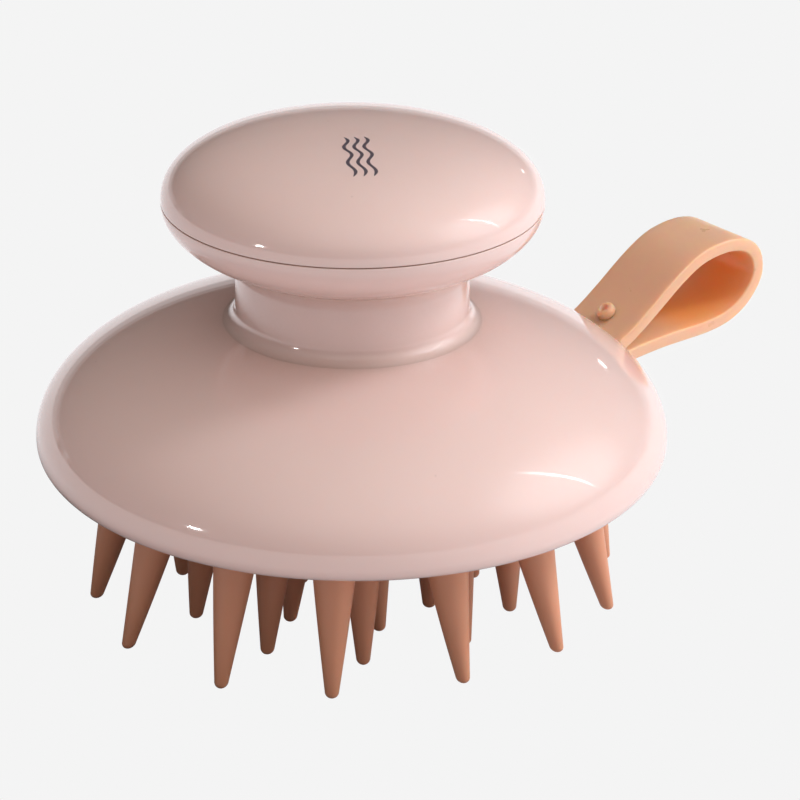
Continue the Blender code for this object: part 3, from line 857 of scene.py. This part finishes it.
def cone_profile():
    """The cone's outline as (height, radius), from the round tip to the flare at the pad."""
    profile = []
    for index in range(8):
        turn = math.radians(90 * index / 7)
        height = BRISTLE_TIP_RADIUS * (1 - math.cos(turn)) * BRISTLE_TIP_ROUND
        profile.append((height, BRISTLE_TIP_RADIUS * math.sin(turn)))
    low_z, low_r = profile[-1]
    flare_z = BRISTLE_BASE_Z - FLARE_HEIGHT
    for index in range(1, 11):
        t = index / 10
        z = low_z + (flare_z - low_z) * t
        r = low_r + (BRISTLE_BASE_RADIUS - low_r) * (z - low_z) / (BRISTLE_BASE_Z - low_z)
        profile.append((z, r + BRISTLE_BELLY * math.sin(math.pi * t)))
    last_z, last_r = profile[-1]
    for index in range(1, 6):
        t = index / 5
        spread = FLARE_START * t + BRISTLE_FLARE * t ** 3
        profile.append((last_z + (BRISTLE_BASE_Z - last_z) * t, last_r + spread))
    return profile


def build_cone(name, angle, tip_circle, lean, bend):
    steps = 40
    profile = cone_profile()
    slope = math.tan(math.radians(lean))
    points = []
    for z, radius in profile:
        reach = max(0.0, 1 - z / BRISTLE_BASE_Z) ** BEND_POWER
        distance = tip_circle - z * slope + bend[2] * reach
        x, y, _ = on_circle(distance, angle + bend[0] + bend[1] * reach)
        for step in range(steps):
            turn = math.radians(angle) + 2 * math.pi * step / steps
            points.append((x + radius * math.cos(turn), y + radius * math.sin(turn), z))
    faces = []
    for ring in range(len(profile) - 1):
        low = ring * steps
        high = low + steps
        for step in range(steps):
            after = (step + 1) % steps
            faces.append((low + step, low + after, high + after, high + step))
    top = (len(profile) - 1) * steps
    faces.append(tuple(range(top, top + steps)))
    cone = link(name, mesh_from(name, points, faces), BRISTLE)
    smooth(cone, 50)
    return cone


# ---------------------------------------------------------------------------------------------
# Strap


def between(a, b, c, d, t):
    """The Catmull-Rom curve's value from b at t = 0 to c at t = 1."""
    square = 2 * a - 5 * b + 4 * c - d
    cube = 3 * b - a - 3 * c + d
    return 0.5 * (2 * b + (c - a) * t + square * t * t + cube * t * t * t)


def smooth_line(points, steps):
    """A smooth curve through the points, as steps short stretches between each two."""
    line = []
    last = len(points) - 1
    for index in range(last):
        a = points[max(0, index - 1)]
        b = points[index]
        c = points[index + 1]
        d = points[min(last, index + 2)]
        for step in range(steps):
            t = step / steps
            line.append((between(a[0], b[0], c[0], d[0], t), between(a[1], b[1], c[1], d[1], t)))
    line.append(points[-1])
    for _ in range(6):
        middle = [
            ((p[0] + 2 * q[0] + n[0]) / 4, (p[1] + 2 * q[1] + n[1]) / 4)
            for p, q, n in zip(line, line[1:], line[2:])
        ]
        line = [line[0]] + middle + [line[-1]]
    return line


def band_section():
    """The band's cross section as (across, out), with small round edges."""
    half = STRAP_THICKNESS / 2
    section = []
    for across, out, start in (
        (STRAP_HALF_WIDTH, half, 0),
        (-STRAP_HALF_WIDTH, half, 90),
        (-STRAP_HALF_WIDTH, -half, 180),
        (STRAP_HALF_WIDTH, -half, 270),
    ):
        flat_end = across - math.copysign(STRAP_EDGE, across)
        centre = (flat_end, out - math.copysign(STRAP_EDGE, out))
        section += arc(centre, STRAP_EDGE, start, start + 90, 4)
        if start in (0, 180):
            section += [(flat_end * (1 - index / 4), out) for index in range(1, 8)]
    return section


def build_band():
    """The strip itself, bent along its line."""
    line = smooth_line(STRAP_LINE, 8)
    section = band_section()
    width = len(section)
    points = []
    for index, (x, z) in enumerate(line):
        back = line[max(0, index - 1)]
        ahead = line[min(len(line) - 1, index + 1)]
        length = math.hypot(ahead[0] - back[0], ahead[1] - back[1])
        side = (-(ahead[1] - back[1]) / length, (ahead[0] - back[0]) / length)
        for across, out in section:
            points.append((x + side[0] * out, across, z + side[1] * out))
    faces = [tuple(range(width))]
    for index in range(len(line) - 1):
        a = width * index
        for k in range(width):
            n = (k + 1) % width
            faces.append((a + k, a + n, a + width + n, a + width + k))
    faces.append(tuple(range(width * (len(line) - 1), width * len(line))))
    return link("strap_band", mesh_from("strap_band", points, faces), STRAP)


def build_stud():
    """A dimpled button on a short stem, upright at the origin."""
    head_top = STUD_HEAD_FROM + STUD_HEAD_HEIGHT
    radius = STUD_HEAD_RADIUS
    profile = [(radius * share, head_top - depth) for share, depth in STUD_CROWN]
    profile += [(radius * share, STUD_HEAD_FROM + height) for share, height in STUD_UNDER]
    profile += [
        (STUD_STEM_RADIUS, STUD_HEAD_FROM),
        (STUD_STEM_RADIUS, STUD_ROOT_Z),
        (0.0, STUD_ROOT_Z),
    ]
    stud = turned("stud", profile, 40)
    stud.hide_render = True
    return stud


def build_strap():
    band = build_band()
    eye = rod("strap_eye", EYE_RADIUS, -STRAP_HALF_WIDTH, STRAP_HALF_WIDTH, 48)
    bore = rod("eye_bore", BAR_RADIUS + GAP, -EYE_BORE_HALF_LENGTH, EYE_BORE_HALF_LENGTH, 32)
    for piece, operation in ((eye, "UNION"), (bore, "DIFFERENCE")):
        piece.rotation_euler = (math.radians(90), 0, 0)
        piece.location = (BAR_X, 0, BAR_Z)
        boolean(band, piece, operation)
    hole = rod("stud_hole", STUD_HOLE_RADIUS, *STUD_HOLE_REACH, 32)
    stud = build_stud()
    for piece, operation in ((hole, "DIFFERENCE"), (stud, "UNION")):
        piece.rotation_euler = (0, -math.radians(STUD_LEAN), 0)
        piece.location = (STUD_FOOT[0], 0, STUD_FOOT[1])
        boolean(band, piece, operation)
    settle(band, [eye, bore, hole, stud])
    smooth(band, 40)
    return band


def build_bar():
    bar = rod(
        "bar", BAR_RADIUS, -BAR_HALF_LENGTH, BAR_HALF_LENGTH, 40, shown=True, material=STEEL
    )
    bar.rotation_euler = (math.radians(90), 0, 0)
    bar.location = (BAR_X, 0, BAR_Z)
    edge = bar.modifiers.new("edge", "BEVEL")
    edge.width = BAR_EDGE
    edge.segments = 3
    edge.limit_method = "ANGLE"
    settle(bar)
    smooth(bar, 30)
    return bar


# ---------------------------------------------------------------------------------------------
# Pieces on the frame

shell = build_dome()
grip = build_grip()
cap = build_cap()
mark = build_mark()
pad = build_pad()
bar = build_bar()
for piece, node, slot in (
    (shell, "dome_shell", "shell_pink"),
    (grip, "grip_body", "grip_pink"),
    (cap, "grip_cap", "cap_pink"),
    (pad, "bristle_pad", "pad_brown"),
    (bar, "strap_bar", "steel"),
):
    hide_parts(node)
    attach(piece, BODY)
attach(mark, BODY)

for ring, count, first, tip_circle, lean in BRISTLE_RINGS:
    for index in range(count):
        label = f"{ring}_{index + 1:02d}"
        bend = BRISTLE_BENDS.get(label, (0.0, 0.0, 0.0))
        cone = build_cone(f"cone_{label}", first + 360 * index / count, tip_circle, lean, bend)
        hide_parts(f"bristle_{label}")
        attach(cone, BODY)

strap = build_strap()
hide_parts("strap")
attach(strap, "strap")

for node, material in (
    ("pad_plate", PLATE),
    ("neck_screw_1", STEEL),
    ("neck_screw_2", STEEL),
    ("neck_screw_3", STEEL),
):
    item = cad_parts[node]
    if not item.material_slots:
        item.data.materials.append(material)
    for holder in item.material_slots:
        holder.material = material


# ---------------------------------------------------------------------------------------------
# Floor, light and camera


def toward(azimuth, elevation):
    """A direction by its angle from the camera's side of the object, positive to the right."""
    turn = math.radians(azimuth - 90 + CAMERA_TURN)
    rise = math.radians(elevation)
    return Vector((math.cos(turn) * math.cos(rise), math.sin(turn) * math.cos(rise), math.sin(rise)))


def build_floor():
    size = FLOOR_HALF_SIZE
    mesh = bpy.data.meshes.new("floor")
    corners = [(-size, -size, 0), (size, -size, 0), (size, size, 0), (-size, size, 0)]
    mesh.from_pydata(corners, [], [(0, 1, 2, 3)])
    floor = link("floor", mesh)
    floor.location = (0, 0, FLOOR_Z)
    made = bpy.data.materials.new("floor_white")
    made.use_nodes = True
    tree = made.node_tree
    tree.nodes.clear()
    place = add(tree, "ShaderNodeTexCoord").outputs["Object"]
    shade = toward(FLOOR_SHADE_AZIMUTH, 0) * FLOOR_SHADE_OFFSET
    far = distance_from(tree, place, shade)
    level = map_range(
        tree, far, FLOOR_SHADE_REACH, (FLOOR_SHADED, FLOOR_BOUNCE), "SMOOTHSTEP"
    )
    lit = add(tree, "ShaderNodeEmission")
    lit.inputs["Color"].default_value = (*FLOOR_TINT, 1)
    tree.links.new(level, lit.inputs["Strength"])
    seen = add(tree, "ShaderNodeEmission")
    seen.inputs["Color"].default_value = SEEN_WHITE
    front = choose(tree, add(tree, "ShaderNodeLightPath").outputs["Is Camera Ray"], lit, seen)
    clear = add(tree, "ShaderNodeBsdfTransparent")
    side = add(tree, "ShaderNodeNewGeometry").outputs["Backfacing"]
    both = choose(tree, side, front, clear)
    out = add(tree, "ShaderNodeOutputMaterial")
    tree.links.new(both.outputs[0], out.inputs["Surface"])
    mesh.materials.append(made)


def level_ramp(tree, value, bands, tint):
    """Tinted grey by value, from (value, level) steps."""
    ramp = add(tree, "ShaderNodeValToRGB")
    stops = ramp.color_ramp.elements
    stops[0].position = bands[0][0]
    stops[1].position = bands[-1][0]
    for position, _ in bands[1:-1]:
        stops.new(position)
    for stop, (_, level) in zip(stops, bands):
        stop.color = (level * tint[0], level * tint[1], level * tint[2], 1)
    tree.links.new(value, ramp.inputs["Fac"])
    return ramp.outputs["Color"]


def facing(tree, direction, azimuth):
    """The cosine of the angle between direction and the azimuth at the horizon."""
    dot = add(tree, "ShaderNodeVectorMath", operation="DOT_PRODUCT")
    dot.inputs[1].default_value = toward(azimuth, 0)
    tree.links.new(direction, dot.inputs[0])
    return dot.outputs["Value"]


def build_world():
    """A soft studio, brighter in front, with a framed white backdrop low behind the object."""
    world = bpy.data.worlds.new("studio")
    bpy.context.scene.world = world
    world.use_nodes = True
    tree = world.node_tree
    tree.nodes.clear()
    direction = add(tree, "ShaderNodeTexCoord").outputs["Generated"]
    height = coordinate(tree, direction, "Z")
    even = level_ramp(tree, height, SKY_BANDS, SKY_TINT)
    turn = facing(tree, direction, SKY_BRIGHT_SIDE)
    side = map_range(tree, turn, (-SKY_TURN, SKY_TURN), (SKY_DARK, SKY_BRIGHT), "SMOOTHSTEP")
    sky = scaled(tree, even, side)

    edge = math.cos(math.radians(BACKDROP_REACH))
    across = map_range(tree, facing(tree, direction, 180), (1.0, 2 * edge - 1), (0.0, 1.0))
    upward = map_range(tree, height, (0.0, 2 * BACKDROP_TOP), (0.0, 1.0))
    outward = most_of(tree, across, upward)
    card = level_ramp(tree, outward, BACKDROP_BANDS, FLOOR_TINT)
    beyond = map_range(tree, outward, BACKDROP_END, (0.0, 1.0), "SMOOTHSTEP")
    mix = add(tree, "ShaderNodeMix", data_type="RGBA")
    tree.links.new(beyond, mix.inputs["Factor"])
    tree.links.new(card, mix.inputs["A"])
    tree.links.new(sky, mix.inputs["B"])
    lit = add(tree, "ShaderNodeBackground")
    tree.links.new(mix.outputs["Result"], lit.inputs["Color"])
    seen = add(tree, "ShaderNodeBackground")
    seen.inputs["Color"].default_value = SEEN_WHITE
    both = choose(tree, add(tree, "ShaderNodeLightPath").outputs["Is Camera Ray"], lit, seen)
    out = add(tree, "ShaderNodeOutputWorld")
    tree.links.new(both.outputs[0], out.inputs["Surface"])


def area_light(name, azimuth, elevation, distance, width, height, power, colour, strength,
               mirrored, lights):
    """A rectangular light that faces the object. With a strength, it fades from there outward."""
    light = bpy.data.lights.new(name, "AREA")
    light.shape = "RECTANGLE"
    light.size = width
    light.size_y = height
    light.energy = power
    light.color = colour
    if strength:
        light.use_nodes = True
        tree = light.node_tree
        spot = add(tree, "ShaderNodeNewGeometry").outputs["Parametric"]
        far = distance_from(tree, spot, LIGHT_MIDDLE)
        fade = map_range(tree, far, LIGHT_FADE, (strength, 0.0), "SMOOTHERSTEP")
        tree.links.new(fade, tree.nodes["Emission"].inputs["Strength"])
    lamp = bpy.data.objects.new(name, light)
    bpy.context.scene.collection.objects.link(lamp)
    aim = Vector(LIGHT_AIM)
    lamp.location = aim + toward(azimuth, elevation) * distance
    lamp.rotation_mode = "QUATERNION"
    lamp.rotation_quaternion = (aim - lamp.location).to_track_quat("-Z", "Y")
    lamp.visible_glossy = mirrored
    lamp.visible_diffuse = lights


def build_camera():
    data = bpy.data.cameras.new("camera")
    data.sensor_width = CAMERA_SENSOR
    data.lens = CAMERA_LENS
    data.shift_x, data.shift_y = CAMERA_SHIFT
    data.clip_start, data.clip_end = CAMERA_CLIP
    camera = bpy.data.objects.new("camera", data)
    bpy.context.scene.collection.objects.link(camera)
    out = toward(0.0, CAMERA_ELEVATION)
    forward = -out
    right = forward.cross(Vector((0, 0, 1))).normalized()
    up = right.cross(forward)
    roll = math.radians(CAMERA_ROLL)
    level = right * math.cos(roll) + up * math.sin(roll)
    above = up * math.cos(roll) - right * math.sin(roll)
    place = out * CAMERA_DISTANCE + Vector((0, 0, CAMERA_AIM_Z))
    rows = [(level[k], above[k], out[k], place[k]) for k in range(3)] + [(0, 0, 0, 1)]
    camera.matrix_world = Matrix(rows)
    bpy.context.scene.camera = camera


build_floor()
build_world()
for values in LIGHTS:
    area_light(*values)
build_camera()
bpy.context.scene.view_settings.view_transform = "Standard"
